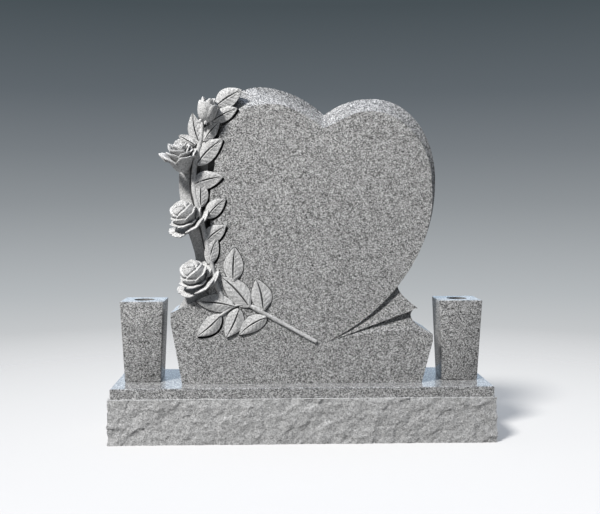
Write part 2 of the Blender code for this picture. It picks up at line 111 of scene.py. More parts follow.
# Leaves: heights and depths in metres, and shares of a leaf's length or of a half's width
LEAF_HEIGHT = 0.007
LEAF_EDGE_DROP = 0.45
LEAF_EDGE_BEND = 2.6
LEAF_START = 0.02
LEAF_FULLNESS = 0.85
LEAF_TIP_SHARE = 0.008
LEAF_COLUMN_BEND = 1.4
LEAF_WAVE = 0.0012
LEAF_WAVE_TURNS = (5, 3)
LEAF_FOOT_DEPTH = 0.012
LEAF_PLATE_DEPTH = 0.005
LEAF_ROOT_SHARE = 0.45
ROOT_OVERLAP = 0.005
LEAF_GROOVE = 0.0036
LEAF_GROOVE_SHARE = 0.055 / 0.7
MIDRIB_RIDGE = 0.0008
MIDRIB_RIDGE_PLACE = 0.17
MIDRIB_RIDGE_SHARE = 1 / 13
# Rows kept clear at each end, and columns each side of the midrib, painted near-black as shade in
# its groove
MIDRIB_SHADE_ROWS = (3, 6)
MIDRIB_SHADE_COLUMNS = 2
VEIN_HEIGHT = 0.0013
VEIN_PAIRS = 7
VEIN_SLANT = 1.4
VEIN_FADE = 0.4

# The cuts, painted near-black as shade: round a leaf in the open face, in the channel beside the
# ground, under the stem
CUT_CLEARANCE = 0.02
OUTLINE_CUT = 0.0016
OUTLINE_SHIFT = (0.0004, -0.0005)
OUTLINE_DEPTH = 0.005
CHANNEL_CUT = 0.00096
CHANNEL_SHIFT = (0.0035, -0.0045)
CHANNEL_DEPTH = 0.016
CHANNEL_LIMIT = -0.28
STEM_CUT_DROP = 0.0050
STEM_CUT_DEPTH = 0.0030
STEM_CUT_RADIUS = 0.0046
STEM_CUT_ENDS = (0.06, 0.96)
STEM_CUT_FULLNESS = 0.35

# Stems: metres, then shares of the radius and of the length
STEM_RADIUS = 0.0066
STEM_WEB_RADIUS = 0.014
STEM_WEB_DEPTH = 0.022
STEM_STAND = 0.2
STEM_END_SHARE = 0.80
STEM_SWELL = 0.22
STEM_SWELL_END = 0.35
STEM_KNOT = 0.22
STEM_KNOT_PLACE = 0.42
STEM_KNOT_LENGTH = 0.04
STEM_WAVE = 0.05
STEM_WAVE_PITCH = 0.7
STEM_NARROW_PLACE = 0.48
STEM_NARROW_LENGTH = 0.04

# Petals: thickness in metres, then shares of the flower's radius. A wave has a height, turns over
# the half width and a share of the petal's own start. Corners have an amount and a power.
PETAL_THICKNESS = 0.0045
PETAL_TAPER = (1.3, 0.7)
PETAL_ROOT_REACH = 0.12
PETAL_FOOT = (0.95, 0.05)
PETAL_NECK = (0.90, 0.02)
PETAL_LIP_DROP = 0.03
PETAL_WAVES = ((0.05, 4.2, 1), (0.025, 9, 2))
PETAL_WAVE_REACH = 0.6
PETAL_CORNER_DROP = (0.30, 3.5)
PETAL_CORNER_CUT = (0.16, 3)
PETAL_SEED_STEP = 1.7
FLOWER_SEED_STEP = 100

# The wrapped heart of a flower, in shares of its radius and degrees from its tip. The rim and the
# groove of a lip have a height, a place past the lip and a width.
WRAP_CORE = 0.72
WRAP_FIRST = 0.74
WRAP_STEP = 0.03375
WRAP_BEND = 34
WRAP_CURL = 1.3
WRAP_EDGE = 1.3
WRAP_RIM = (0.03, 3, 4)
WRAP_GROOVE = (0.10, -4.5, 3.5)

# The stalk that joins a flower to the ground, in shares of the flower's radius
STALK_ROOT = 0.85
STALK_SHIFT = (0.2, 0.1)
STALK_RADII = (0.22, 0.5)
CUP_RADII = (0.6, 0.2)

# Vases and base
VASE_ARRIS = 0.002
VASE_TAPER = 0.100 / 0.121
VASE_BORE_DIAMETER = 0.058
VASE_BORE_DEPTH = 0.150
MARGIN_HEIGHT = 0.029
MARGIN_LEDGE = 0.0005

# The split rock: how far it stands out, the pitch of its mesh, and from 0 to 1 its middle level,
# its flats (share, size in metres, seed) and its breaks (share, pitch, roughness, level)
ROCK_PROUD = 0.010
ROCK_PITCH = 0.0032
ROCK_CORNER_TURN = 1.7
ROCK_SLANT = 28
ROCK_STRETCH = 0.42
ROCK_LOWEST = 0.04
ROCK_MIDDLE = 0.45
ROCK_BEND = 0.020
ROCK_BEND_PITCH = 11
ROCK_FLATS = ((0.42, 0.070, 7), (0.24, 0.027, 12))
ROCK_BREAKS = ((0.22, 34, 0.9, 9), (0.13, 130, 0.8, 5))
FLAT_STEP = 0.6
FLAT_RISE = 0.5
LEAN_PITCH = 7.3
LEAN_SHIFTS = (Vector((9.3, -1.5, -8.0)), Vector((0.0, 0.0, 0.0)), Vector((6.3, 0.2, -2.7)))

# The heart's edge, clockwise from the cleft, as curves of four points in shares of the tablet
HEART_OUTER = {
    "right_top": ((0.083, 0.904), (0.118, 0.922), (0.166, 0.958), (0.267, 0.958)),
    "right_side": ((0.267, 0.958), (0.436, 0.958), (0.507, 0.812), (0.507, 0.685)),
    "right_foot": ((0.507, 0.685), (0.507, 0.399), (0.276, 0.214), (0.086, 0.137)),
    "left_side": ((-0.329, 0.734), (-0.329, 0.900), (-0.270, 1.000), (-0.164, 1.000)),
    "left_top": ((-0.164, 1.000), (-0.071, 1.000), (0.027, 0.960), (0.083, 0.904)),
}
HEART_INNER = {
    "right_top": ((0.081, 0.857), (0.163, 0.885), (0.182, 0.914), (0.264, 0.914)),
    "right_side": ((0.264, 0.914), (0.366, 0.914), (0.491, 0.811), (0.491, 0.679)),
    "left_side": ((-0.329, 0.734), (-0.329, 0.863), (-0.246, 0.937), (-0.116, 0.937)),
    "left_top": ((-0.116, 0.937), (-0.043, 0.938), (0.062, 0.872), (0.081, 0.857)),
}
BEVEL_FADE = 0.35
LEFT_FOOT_ACROSS = -0.250

# Where the polished face ends under the leaves, and the edge of the stone behind the roses
FACE_EDGE = (
    (-0.329, 0.734), (-0.347, 0.640), (-0.346, 0.540), (-0.333, 0.440), (-0.342, 0.350),
    (-0.378, 0.285),
)
STONE_EDGE = (
    (-0.164, 0.994), (-0.260, 0.978), (-0.352, 0.925), (-0.420, 0.850), (-0.458, 0.765),
    (-0.470, 0.690), (-0.464, 0.610), (-0.448, 0.540), (-0.424, 0.475), (-0.409, 0.420),
    (-0.412, 0.360), (-0.440, 0.302), (-0.484, 0.244),
)

# The fan of two flutes that opens to the right from the heart's point
FAN_START = 0.445
FAN_RIDGE_END = (0.4415, 0.2535)
FAN_LOWER = ((0.086, 0.137), (0.205, 0.168), (0.370, 0.193))

# Leaves: base, tip, width as a share of the length, and how far the midrib bows to the left
LEAVES = (
    ((-0.382, 0.800), (-0.410, 0.905), 0.42, 0.05), ((-0.400, 0.800), (-0.462, 0.832), 0.55, 0.00),
    ((-0.322, 0.928), (-0.226, 0.982), 0.60, 0.04), ((-0.335, 0.880), (-0.243, 0.921), 0.52, 0.04),
    ((-0.368, 0.812), (-0.310, 0.877), 0.50, 0.05), ((-0.396, 0.736), (-0.298, 0.820), 0.50, 0.06),
    ((-0.414, 0.668), (-0.299, 0.695), 0.55, 0.05), ((-0.382, 0.596), (-0.380, 0.686), 0.52, 0.00),
    ((-0.360, 0.560), (-0.289, 0.622), 0.55, 0.06), ((-0.368, 0.478), (-0.288, 0.533), 0.60, 0.05),
    ((-0.352, 0.405), (-0.322, 0.492), 0.50, 0.05), ((-0.262, 0.349), (-0.255, 0.461), 0.58, 0.02),
    ((-0.202, 0.262), (-0.305, 0.362), 0.52, -0.04),
    ((-0.260, 0.264), (-0.402, 0.280), 0.46, -0.03),
    ((-0.310, 0.233), (-0.401, 0.163), 0.50, 0.04), ((-0.240, 0.254), (-0.291, 0.158), 0.58, 0.04),
    ((-0.137, 0.226), (-0.240, 0.168), 0.50, -0.06),
    ((-0.148, 0.249), (-0.174, 0.355), 0.62, -0.04),
)
STEMS = (
    ((0.052, 0.141), (-0.132, 0.232), (-0.198, 0.263), (-0.250, 0.266), (-0.312, 0.232)),
    ((-0.372, 0.905), (-0.380, 0.820), (-0.402, 0.740), (-0.408, 0.660), (-0.392, 0.590)),
    ((-0.392, 0.590), (-0.372, 0.520), (-0.352, 0.440), (-0.330, 0.350), (-0.300, 0.280)),
)
STEM_THINNESS = (0.5, 1.0, 1.0)

# Flared petals: turn round the flower in degrees (0 right, -90 near), half width in degrees, and
# in shares of the flower's radius the reach of the lip, its level and the level of the root
ROSE_PETALS = (
    (-28, 50, 0.78, 0.05, -0.70), (-150, 48, 0.80, -0.22, -0.75), (-88, 50, 0.84, -0.30, -0.80),
    (30, 46, 0.92, -0.20, -0.85), (-48, 48, 1.04, -0.52, -0.95), (0, 40, 1.18, -0.50, -1.00),
    (-128, 26, 1.06, -0.66, -1.05), (-160, 20, 1.10, -0.58, -1.05), (75, 40, 1.05, -0.45, -0.95),
)
CUP_PETALS = (
    (-150, 62, 0.42, 0.50, -0.60), (-20, 60, 0.44, 0.46, -0.60), (100, 60, 0.42, 0.52, -0.60),
    (-100, 60, 0.62, 0.32, -0.80), (20, 55, 0.64, 0.34, -0.80), (150, 60, 0.64, 0.36, -0.80),
    (-132, 58, 0.80, 0.14, -1.00), (-42, 55, 0.82, 0.14, -1.00), (80, 70, 0.80, 0.26, -1.00),
    (-150, 46, 1.02, -0.08, -1.12), (-58, 52, 1.00, -0.08, -1.14), (10, 40, 0.98, 0.02, -1.10),
    (182, 26, 1.16, 0.02, -1.00),
)
BUD_PETALS = (
    (-120, 80, 0.76, 0.62, -1.00), (-5, 74, 0.80, 0.48, -1.02), (115, 70, 0.72, 0.72, -1.00),
    (-70, 50, 0.50, 0.90, -0.30), (50, 50, 0.44, 0.98, -0.30), (170, 50, 0.50, 0.96, -0.30),
    (-150, 17, 0.66, -1.30, -0.92), (-80, 17, 0.62, -1.36, -0.92), (-20, 17, 0.66, -1.30, -0.92),
)

# Kinds of flower: petals, how full they are, and the heart's height for its width and its rise
KINDS = {
    "rose": (ROSE_PETALS, 0.66, 1.0, 0.0),
    "cup": (CUP_PETALS, 0.62, 1.0, 0.2),
    "bud": (BUD_PETALS, 1.18, 1.2, 0.2),
}

# Lips wrapped round a flower's heart: how far from its tip and the way each faces, in degrees
WRAPS = (
    (6, 210), (12, 347), (20, 125), (29, 262), (39, 40), (50, 177), (61, 315), (73, 92), (86, 230),
)

# Flowers: kind, place, radius, how far it stands out, the size of its heart and the way it faces
# (right, front, up)
FLOWERS = (
    ("bud", (-0.3530, 0.9170), 0.030, 0.018, 0.55, (0.18, 0.14, 0.97)),
    ("cup", (-0.4580, 0.7800), 0.048, 0.012, 0.30, (-0.12, 0.41, 0.90)),
    ("rose", (-0.4525, 0.5800), 0.056, 0.008, 0.64, (-0.42, 0.52, 0.74)),
    ("rose", (-0.4170, 0.3815), 0.057, 0.008, 0.64, (-0.36, 0.56, 0.74)),
)

# The photo's camera: place, turn to the right, tilt down, roll, and focal length in pixels
CAMERA_PLACE = (-0.0813, -2.4713, 0.6551)
CAMERA_YAW = 0.0313
CAMERA_PITCH = 0.0616
CAMERA_ROLL = -0.0013
FOCAL_PIXELS = 864.9
IMAGE_WIDTH = 600
SENSOR_WIDTH = 36.0

# Light: the key on the stones, the floor's own light, and the pale card behind for the polish
KEY_PLACE = (-2.35, -2.55, 4.10)
KEY_AIM = (0.0, 0.0, 0.5)
KEY_SIZE = 0.7
KEY_POWER = 430
KEY_COLOUR = (1.0, 0.985, 0.96)
FLOOR_LIGHT_TURN = (28, -30)
FLOOR_LIGHT_STRENGTH = 4.2
FLOOR_LIGHT_COLOUR = (1.0, 0.97, 0.93)
FLOOR_LIGHT_ANGLE = 12
CARD_PLACE = (0.0, 3.2, 1.35)
CARD_SIZE = (7.0, 2.3)
CARD_POWER = 62
CARD_COLOUR = (0.68, 0.83, 1.0)

# The room's colour by the height of the direction, from under the horizon to overhead, and the
# share of it that lights the stones
ROOM_LOW = -0.36
ROOM_BANDS = (
    (-0.340, (1.00, 1.00, 1.00, 1.0)), (-0.273, (0.875, 0.88, 0.88, 1.0)),
    (-0.176, (0.65, 0.66, 0.67, 1.0)), (-0.100, (0.46, 0.485, 0.503, 1.0)),
    (0.000, (0.272, 0.293, 0.311, 1.0)), (0.060, (0.186, 0.206, 0.224, 1.0)),
    (0.125, (0.117, 0.136, 0.153, 1.0)), (0.220, (0.065, 0.082, 0.093, 1.0)),
    (0.500, (0.10, 0.12, 0.14, 1.0)), (0.800, (0.45, 0.52, 0.62, 1.0)),
    (1.000, (1.90, 2.20, 2.80, 1.0)),
)
ROOM_FILL = 0.5

# The floor: where its fade starts and ends, and how pale it is to the camera and to the stones
FLOOR_CENTRE = (0.0, -0.5, 0.0)
FLOOR_FADE = (0.0, 2.8)
FLOOR_MARGIN = 0.5
FLOOR_ROUGHNESS = 0.9
FLOOR_SHADE = 0.72
FLOOR_BOUNCE = 0.25

# Granite: cells to a metre, how far they are bent, shares of each layer, and stops of the greys
CRYSTAL_SCALE = 520.0
GRAIN_SCALE = 900.0
CLUSTER_SCALE = 190.0
WARP_SCALE = 260.0
WARP_REACH = 0.0016
GRAIN_SHARE = 0.5
CLUSTER_SHARE = 0.12
MIDDLE_STOP = 0.48
LIGHT_STOP = 0.82
CLOUD_SCALE = 14.0
CLOUD_SPREAD = (0.3, 0.7)
CLOUD_SHARE = 0.05
GLOSS_RANGE = (0.85, 1.2)
PIT_STRENGTH = 0.6

# Finishes: light, middle and dark grey, roughness, where the dark ends, and the height and scale
# of the pits
FINISHES = {
    "polished_granite": (0.66, 0.19, 0.018, 0.20, 0.29, None),
    "frosted_granite": (0.66, 0.48, 0.20, 0.75, 0.20, (0.0008, 500.0)),
    # Near-black granite painted in cuts, grooves and recesses as shade
    "painted_shade_granite": (0.10, 0.06, 0.03, 0.80, 0.20, (0.0008, 400.0)),
    "rock_granite": (0.62, 0.38, 0.14, 0.85, 0.20, (0.0022, 260.0)),
    "bored_granite": (0.30, 0.18, 0.08, 0.60, 0.20, (0.0006, 300.0)),
}

# Which finish a face has, in the order of a piece's material slots
POLISHED = 0
CARVED = 1
# Painted shade: a near-black finish in cuts, grooves and recesses
PAINTED_SHADE = 2


def bezier(points, steps):
    """Points along a curve of four control points, the last one left out."""
    a, b, c, d = (Vector(p) for p in points)
    path = []
    for i in range(steps):
        t = i / steps
        s = 1 - t
        path.append(a * s ** 3 + b * (3 * s * s * t) + c * (3 * s * t * t) + d * t ** 3)
    return path


def spline(points, steps):
    """A smooth curve through all the points, with the last one kept."""
    nodes = [Vector(p) for p in points]
    nodes = [nodes[0] * 2 - nodes[1]] + nodes + [nodes[-1] * 2 - nodes[-2]]
    path = []
    spans = len(nodes) - 3
    for i in range(steps + 1):
        place = min(i / steps * spans, spans - 1e-9)
        k = int(place)
        t = place - k
        a, b, c, d = nodes[k:k + 4]
        path.append(0.5 * (2 * b + (c - a) * t + (2 * a - 5 * b + 4 * c - d) * t * t
                           + (3 * b - a - 3 * c + d) * t ** 3))
    return path


def on_tablet(share, depth=0.0):
    """A point on the tablet's face, moved back by the depth."""
    return Vector((share[0] * TABLET_WIDTH, FACE_Y + depth, SEAT_Z + share[1] * TABLET_HEIGHT))


def add_face(shape, corners, finish):
    shape.faces.new(corners).material_index = finish


def closed_rings(rings, finishes):
    """A closed body through rings of equal counts, with flat ends and a finish for each band."""
    shape = bmesh.new()
    loops = [[shape.verts.new(p) for p in ring] for ring in rings]
    count = len(loops[0])
    for band, (lower, upper) in enumerate(zip(loops, loops[1:])):
        for i in range(count):
            j = (i + 1) % count
            add_face(shape, (lower[i], lower[j], upper[j], upper[i]), finishes[band + 1])
    add_face(shape, loops[0], finishes[0])
    add_face(shape, list(reversed(loops[-1])), finishes[-1])
    return shape


def grid_rim(rows, columns):
    """The places around the edge of a grid, in order."""
    rim = [(0, j) for j in range(columns)] + [(i, columns - 1) for i in range(1, rows)]
    rim += [(rows - 1, j) for j in range(columns - 2, -1, -1)]
    return rim + [(i, 0) for i in range(rows - 2, 0, -1)]


def add_sheet(shape, points, finish):
    """A grid of faces, and the vertices it is made of."""
    grid = [[shape.verts.new(p) for p in row] for row in points]
    for upper, lower in zip(grid, grid[1:]):
        for j in range(len(upper) - 1):
            add_face(shape, (upper[j], lower[j], lower[j + 1], upper[j + 1]), finish)
    return grid


def closed_relief(front, back_y, finish, plate_y=None):
    """A closed body under a grid, with upright polished walls down to a flat back.

    With plate_y the walls end there in the front's finish, and narrow to a root at the back.
    """
    shape = bmesh.new()
    grid = add_sheet(shape, front, finish)
    loops = [[grid[i][j] for i, j in grid_rim(len(front), len(front[0]))]]
    levels = [(back_y, 1.0)]
    wall = POLISHED
    if plate_y is not None:
        levels = [(plate_y, 1.0), (back_y, LEAF_ROOT_SHARE)]
        wall = finish
    middle = sum((v.co for v in loops[0]), Vector()) / len(loops[0])
    for y, share in levels:
        spots = [middle.lerp(v.co, share) for v in loops[0]]
        loops.append([shape.verts.new((p.x, y, p.z)) for p in spots])
    for upper, lower in zip(loops, loops[1:]):
        for k in range(len(upper)):
            m = (k + 1) % len(upper)
            add_face(shape, (upper[k], upper[m], lower[m], lower[k]), wall)
    add_face(shape, list(reversed(loops[-1])), wall)
    return shape


def closed_slab(front, back, finish):
    """A closed body between two grids of equal size, joined around their edges."""
    shape = bmesh.new()
    sheets = [add_sheet(shape, grid, finish) for grid in (front, back)]
    rim = grid_rim(len(front), len(front[0]))
    for k, (i, j) in enumerate(rim):
        m, n = rim[(k + 1) % len(rim)]
        corners = (sheets[0][i][j], sheets[0][m][n], sheets[1][m][n], sheets[1][i][j])
        add_face(shape, corners, finish)
    return shape


def make_object(name, shape, materials=()):
    """Turn a closed bmesh into an object with its faces turned outward."""
    shape.normal_update()
    bmesh.ops.recalc_face_normals(shape, faces=shape.faces)
    if shape.calc_volume(signed=True) < 0:
        bmesh.ops.reverse_faces(shape, faces=shape.faces)
    mesh = bpy.data.meshes.new(name)
    shape.to_mesh(mesh)
    shape.free()
    item = bpy.data.objects.new(name, mesh)
    bpy.context.scene.collection.objects.link(item)
    for material in materials:
        mesh.materials.append(material)
    return item


def combine(body, shapes, operation):
    """Join many closed shapes to the body, or cut them away, and keep only the result."""
    tools = bpy.data.collections.new("tools")
    bpy.context.scene.collection.children.link(tools)
    materials = list(body.data.materials)
    for number, shape in enumerate(shapes):
        tool = make_object(f"tool_{number}", shape, materials)
        bpy.context.scene.collection.objects.unlink(tool)
        tools.objects.link(tool)
    step = body.modifiers.new("combine", "BOOLEAN")
    step.operation = operation
    step.solver = "MANIFOLD"
    step.operand_type = "COLLECTION"
    step.collection = tools
    evaluated = body.evaluated_get(bpy.context.evaluated_depsgraph_get())
    result = bpy.data.meshes.new_from_object(evaluated)
    old = body.data
    body.modifiers.clear()
    body.data = result
    bpy.data.meshes.remove(old)
    for tool in list(tools.objects):
        mesh = tool.data
        bpy.data.objects.remove(tool, do_unlink=True)
        bpy.data.meshes.remove(mesh)
    bpy.data.collections.remove(tools)


def shade(item, sharp_degrees):
    """Smooth shading that keeps edges sharper than the angle."""
    item.data.shade_smooth()
    item.data.set_sharp_from_angle(angle=math.radians(sharp_degrees))


def heart_edges(steps):
    """The heart's outline at the back of its bevel and on its face, point for point."""
    outer = []
    inner = []
    for name in ("right_top", "right_side"):
        outer += bezier(HEART_OUTER[name], steps)
        inner += bezier(HEART_INNER[name], steps)
    foot = bezier(HEART_OUTER["right_foot"], 2 * steps)
    shift = Vector(HEART_INNER["right_side"][3]) - Vector(HEART_OUTER["right_side"][3])
    for i, point in enumerate(foot):
        fade = max(0.0, 1 - i / (2 * steps) / BEVEL_FADE)
        outer.append(point)
        inner.append(point + shift * fade * fade)
    tip = Vector(HEART_OUTER["right_foot"][3])
    under_leaves = [tip, Vector((LEFT_FOOT_ACROSS, tip.y))]
    under_leaves += list(reversed(spline(FACE_EDGE, steps)))[:-1]
    outer += under_leaves
    inner += under_leaves
    for name in ("left_side", "left_top"):
        outer += bezier(HEART_OUTER[name], steps)
        inner += bezier(HEART_INNER[name], steps)
    return outer, inner


def heart_body(steps):
    outer, inner = heart_edges(steps)
    rings = [[], [], []]
    for low, high in zip(outer, inner):
        edge = on_tablet(low)
        face = on_tablet(high)
        depth = max((edge - face).length, ARRIS)
        rings[0].append(face)
        rings[1].append(edge + Vector((0, depth, 0)))
        rings[2].append(Vector((edge.x, BACK_Y, edge.z)))
    return closed_rings(rings, (POLISHED,) * 4)


def fan_lower_edge(steps):
    end = (0.5, RIGHT_SHOULDER_HEIGHT / TABLET_HEIGHT)
    return bezier(FAN_LOWER + (end,), steps) + [Vector(end)]


def lower_body(steps):
    """The tapered lower part, cut to the fan's lower edge on the right."""
    half_foot = FOOT_WIDTH / 2
    half = TABLET_WIDTH / 2
    lean = SIDE_STRAIGHT_SHARE
    fan = [(p.x * TABLET_WIDTH, p.y * TABLET_HEIGHT) for p in fan_lower_edge(steps)]
    outline = [(-half_foot, 0), (half_foot, 0), (half, RIGHT_SHOULDER_HEIGHT * lean)]
    outline += list(reversed(fan))
    outline += [(-half + SHOULDER_RUN, LEFT_SHOULDER_HEIGHT + SHOULDER_RISE)]
    outline += [(-half, LEFT_SHOULDER_HEIGHT), (-half, LEFT_SHOULDER_HEIGHT * lean)]
    rings = [[Vector((x, y, SEAT_Z + z)) for x, z in outline] for y in (FACE_Y, BACK_Y)]
    return closed_rings(rings, (POLISHED,) * 3)


def flute_depth(across):
    """A steep drop, then a hollow that sweeps back up to the next ridge."""
    if across < FLUTE_DROP:
        return math.sin(across / FLUTE_DROP * math.pi / 2)
    rise = (across - FLUTE_DROP) / (1 - FLUTE_DROP)
    return 1 - rise ** FLUTE_SWEEP


def fan_body(steps, across_steps):
    """Two flutes that open from the heart's point to the right edge of the stone."""
    foot = HEART_OUTER["right_foot"]
    tip = Vector(foot[3])
    fine = bezier(foot, FAN_FINE_STEPS) + [tip]
    run = FAN_FINE_STEPS - int(FAN_START * FAN_FINE_STEPS)
    upper = [fine[round(FAN_FINE_STEPS - run * i / steps)] for i in range(steps + 1)]
    ridge = [tip.lerp(Vector(FAN_RIDGE_END), i / steps) for i in range(steps + 1)]
    lower = fan_lower_edge(steps)
    tuck = Vector((0.0, FAN_OVERLAP))
    front = []
    for i in range(1, steps + 1):
        along = i / steps
        row = [on_tablet(upper[i].lerp(Vector(HEART_MIDDLE), FAN_INSET), GROUND_RIM)]
        for first, (high, low) in enumerate(((upper[i], ridge[i]), (ridge[i], lower[i]))):
            for k in range(first, across_steps + 1):
                across = k / across_steps
                depth = FLUTE_STEP + FLUTE_DEPTH * along * flute_depth(across)
                point = on_tablet(high.lerp(low, across), depth)
                bend = math.sin(math.pi * across ** FLUTE_HOLLOW_BEND)
                point.x -= FLUTE_HOLLOW * along ** 2 * bend
                row.append(point)
        row.append(on_tablet(lower[i] - tuck, GROUND_RIM))
        front.append(row)
    root = tip - Vector((FAN_ROOT_SHIFT, 0.0))
    low = on_tablet(root - tuck, GROUND_RIM)
    high = on_tablet(root + tuck, GROUND_RIM)
    count = len(front[0]) - 1
    front.insert(0, [high.lerp(low, k / count) for k in range(count + 1)])
    return closed_relief(front, BACK_Y, POLISHED)


def ground_body(steps, across_steps):
    """The sunk ground behind the roses, coved down from the edge of the polished face."""
    drop = Vector((0, GROUND_UNDER_BEVEL))
    lobe = [p - drop for p in reversed(bezier(HEART_INNER["left_side"], 8)[1::3])]
    near = spline([GROUND_START] + lobe + list(FACE_EDGE) + [GROUND_END], steps)
    far = spline(STONE_EDGE, steps)
    front = []
    for i in range(steps + 1):
        start = near[i] + Vector((GROUND_INSET, 0))
        top = GROUND_TOP_SINK * max(0.0, 1 - i / steps / GROUND_TOP_SHARE)
        row = []
        for k in range(across_steps + 1):
            across = k / across_steps
            depth = GROUND_RIM + (GROUND_SINK - GROUND_RIM) * (1 - (1 - across) ** GROUND_COVE)
            point = on_tablet(start.lerp(far[i], across), depth + top)
            rough = noise.fractal(point * GROUND_ROUGH_PITCH, 1.0, 2.0, 3)
            point.y += GROUND_ROUGHNESS * rough * math.sin(math.pi * across)
            row.append(point)
        front.append(row)
    shape = closed_relief(front, BACK_Y, CARVED)
    # The ground's strip beside the polished face is painted near-black as shade
    shape.faces.ensure_lookup_table()
    for i in range(steps):
        for j in range(round(across_steps * GROUND_SHADE_SHARE)):
            shape.faces[i * across_steps + j].material_index = PAINTED_SHADE
    return shape


def leaf_outline(base, tip, width, bow, steps, spread=0.0):
    """Rows of (middle, side, half width) along a leaf, with its outline moved out by spread."""
    start = on_tablet(base)
    run = on_tablet(tip) - start
    side = Vector((run.z, 0, -run.x))
    along = run.normalized()
    rows = []
    for i in range(steps + 1):
        t = i / steps
        place = (LEAF_START + (1 - LEAF_START) * t) ** LEAF_FULLNESS
        half = 0.5 * width * math.sin(math.pi * place) ** LEAF_FULLNESS + LEAF_TIP_SHARE
        middle = start + run * t - side * bow * math.sin(math.pi * t)
        middle += along * spread * (2 * t - 1)
        rows.append((middle, side.normalized(), half * run.length + spread))
    return rows


def leaf_height(t, across):
    """How far a leaf stands over the face, at t along it and across from -1 to 1."""
    near = abs(across)
    ridge = (across - MIDRIB_RIDGE_PLACE) / MIDRIB_RIDGE_SHARE
    height = LEAF_HEIGHT * (1 - LEAF_EDGE_DROP * near ** LEAF_EDGE_BEND)
    height -= LEAF_GROOVE * math.exp(-(near / LEAF_GROOVE_SHARE) ** 4)
    height += MIDRIB_RIDGE * math.exp(-ridge ** 2)
    offset = 0.5 if across > 0 else 0
    vein = abs(math.sin(math.pi * (t * VEIN_PAIRS - near * VEIN_SLANT + offset)))
    height -= VEIN_HEIGHT * (1 - vein) ** 2 * math.sin(math.pi * min(1, near)) ** VEIN_FADE
    return height + LEAF_WAVE * math.sin(LEAF_WAVE_TURNS[0] * t + LEAF_WAVE_TURNS[1] * across)


def leaf(base, tip, width, bow, steps=56, across_steps=13):
    """A leaf in low relief: domed halves, a midrib groove painted near-black as shade with a fine
    ridge, and side veins.
    """
    front = []
    for i, (middle, side, half) in enumerate(leaf_outline(base, tip, width, bow, steps)):
        row = []
        for k in range(-across_steps, across_steps + 1):
            across = math.copysign(abs(k / across_steps) ** LEAF_COLUMN_BEND, k)
            point = middle + side * half * across
            row.append(Vector((point.x, FACE_Y - leaf_height(i / steps, across), point.z)))
        front.append(row)
    root_y, plate_y = FACE_Y + LEAF_FOOT_DEPTH, None
    if base[0] < CHANNEL_LIMIT:
        root_y, plate_y = FACE_Y + GROUND_SINK + ROOT_OVERLAP, FACE_Y + LEAF_PLATE_DEPTH
    shape = closed_relief(front, root_y, CARVED, plate_y)
    # The midrib's groove is painted near-black as shade
    shape.faces.ensure_lookup_table()
    first, last = MIDRIB_SHADE_ROWS
    for i in range(first, steps - last):
        for j in range(across_steps - MIDRIB_SHADE_COLUMNS, across_steps + MIDRIB_SHADE_COLUMNS):
            shape.faces[i * 2 * across_steps + j].material_index = PAINTED_SHADE
    return shape


def leaf_cut(base, tip, width, bow, steps=24):
    """The cut round a leaf, painted near-black as shade: narrow in the open face, deep and aside
    by the ground.
    """
    spread, shift, depth = OUTLINE_CUT, OUTLINE_SHIFT, OUTLINE_DEPTH
    if base[0] < CHANNEL_LIMIT:
        spread, shift, depth = CHANNEL_CUT, CHANNEL_SHIFT, CHANNEL_DEPTH
    move = Vector((shift[0], 0, shift[1]))
    rows = leaf_outline(base, tip, width, bow, steps, spread)
    outline = [m - s * h for m, s, h in rows] + [m + s * h for m, s, h in reversed(rows)]
    levels = (FACE_Y - CUT_CLEARANCE, FACE_Y + depth)
    rings = [[Vector((p.x, y, p.z)) + move for p in outline] for y in levels]
    return closed_rings(rings, (PAINTED_SHADE,) * 3)


def tube(path, radii, sides=14, finish=CARVED):
    """A closed round bar along a path, kept level with the stone's face."""
    rings = []
    for i, point in enumerate(path):
        ahead = path[min(i + 1, len(path) - 1)] - path[max(i - 1, 0)]
        side = ahead.cross(Vector((0, 1, 0))).normalized()
        rise = side.cross(ahead).normalized()
        turn = [2 * math.pi * k / sides for k in range(sides)]
        rings.append([point + (side * math.cos(a) + rise * math.sin(a)) * radii[i] for a in turn])
    return closed_rings(rings, (finish,) * (len(path) + 1))


def stem(points, thin, steps=60):
    """A stem with a small knot, that narrows to the thin share of its thickness."""
    path = [on_tablet(p, -STEM_RADIUS * STEM_STAND) for p in spline(points, steps)]
    radii = []
    for i in range(steps + 1):
        t = i / steps
        share = STEM_END_SHARE + STEM_SWELL * min(1, t / STEM_SWELL_END)
        share += STEM_KNOT * math.exp(-((t - STEM_KNOT_PLACE) / STEM_KNOT_LENGTH) ** 2)
        share += STEM_WAVE * math.sin(i * STEM_WAVE_PITCH)
        share -= (1 - thin) / (1 + math.exp(-(t - STEM_NARROW_PLACE) / STEM_NARROW_LENGTH))
        radii.append(STEM_RADIUS * share)
    return tube(path, radii)


def stem_web(points, steps=40):
    """The stone left between a stem and the ground, painted near-black as shade."""
    path = [on_tablet(p, STEM_WEB_DEPTH) for p in spline(points, steps)]
    return tube(path, [STEM_WEB_RADIUS] * (steps + 1), finish=PAINTED_SHADE)


def stem_cut(points, steps=48):
    """The groove under a stem, painted near-black as shade."""
    drop = Vector((0, 0, STEM_CUT_DROP))
    path = [on_tablet(p, STEM_CUT_DEPTH) - drop for p in spline(points, steps)]
    start, end = STEM_CUT_ENDS
    spots = [start + (end - start) * i / steps for i in range(steps + 1)]
    radii = [STEM_CUT_RADIUS * math.sin(math.pi * spot) ** STEM_CUT_FULLNESS for spot in spots]
    return tube(path, radii, 12, PAINTED_SHADE)


def flower_frame(axis):
    """The way the flower faces, and the right and upward directions square to it."""
    facing = Vector((axis[0], -axis[1], axis[2])).normalized()
    right = (Vector((1, 0, 0)) - facing * facing.x).normalized()
    return facing, right, facing.cross(right)


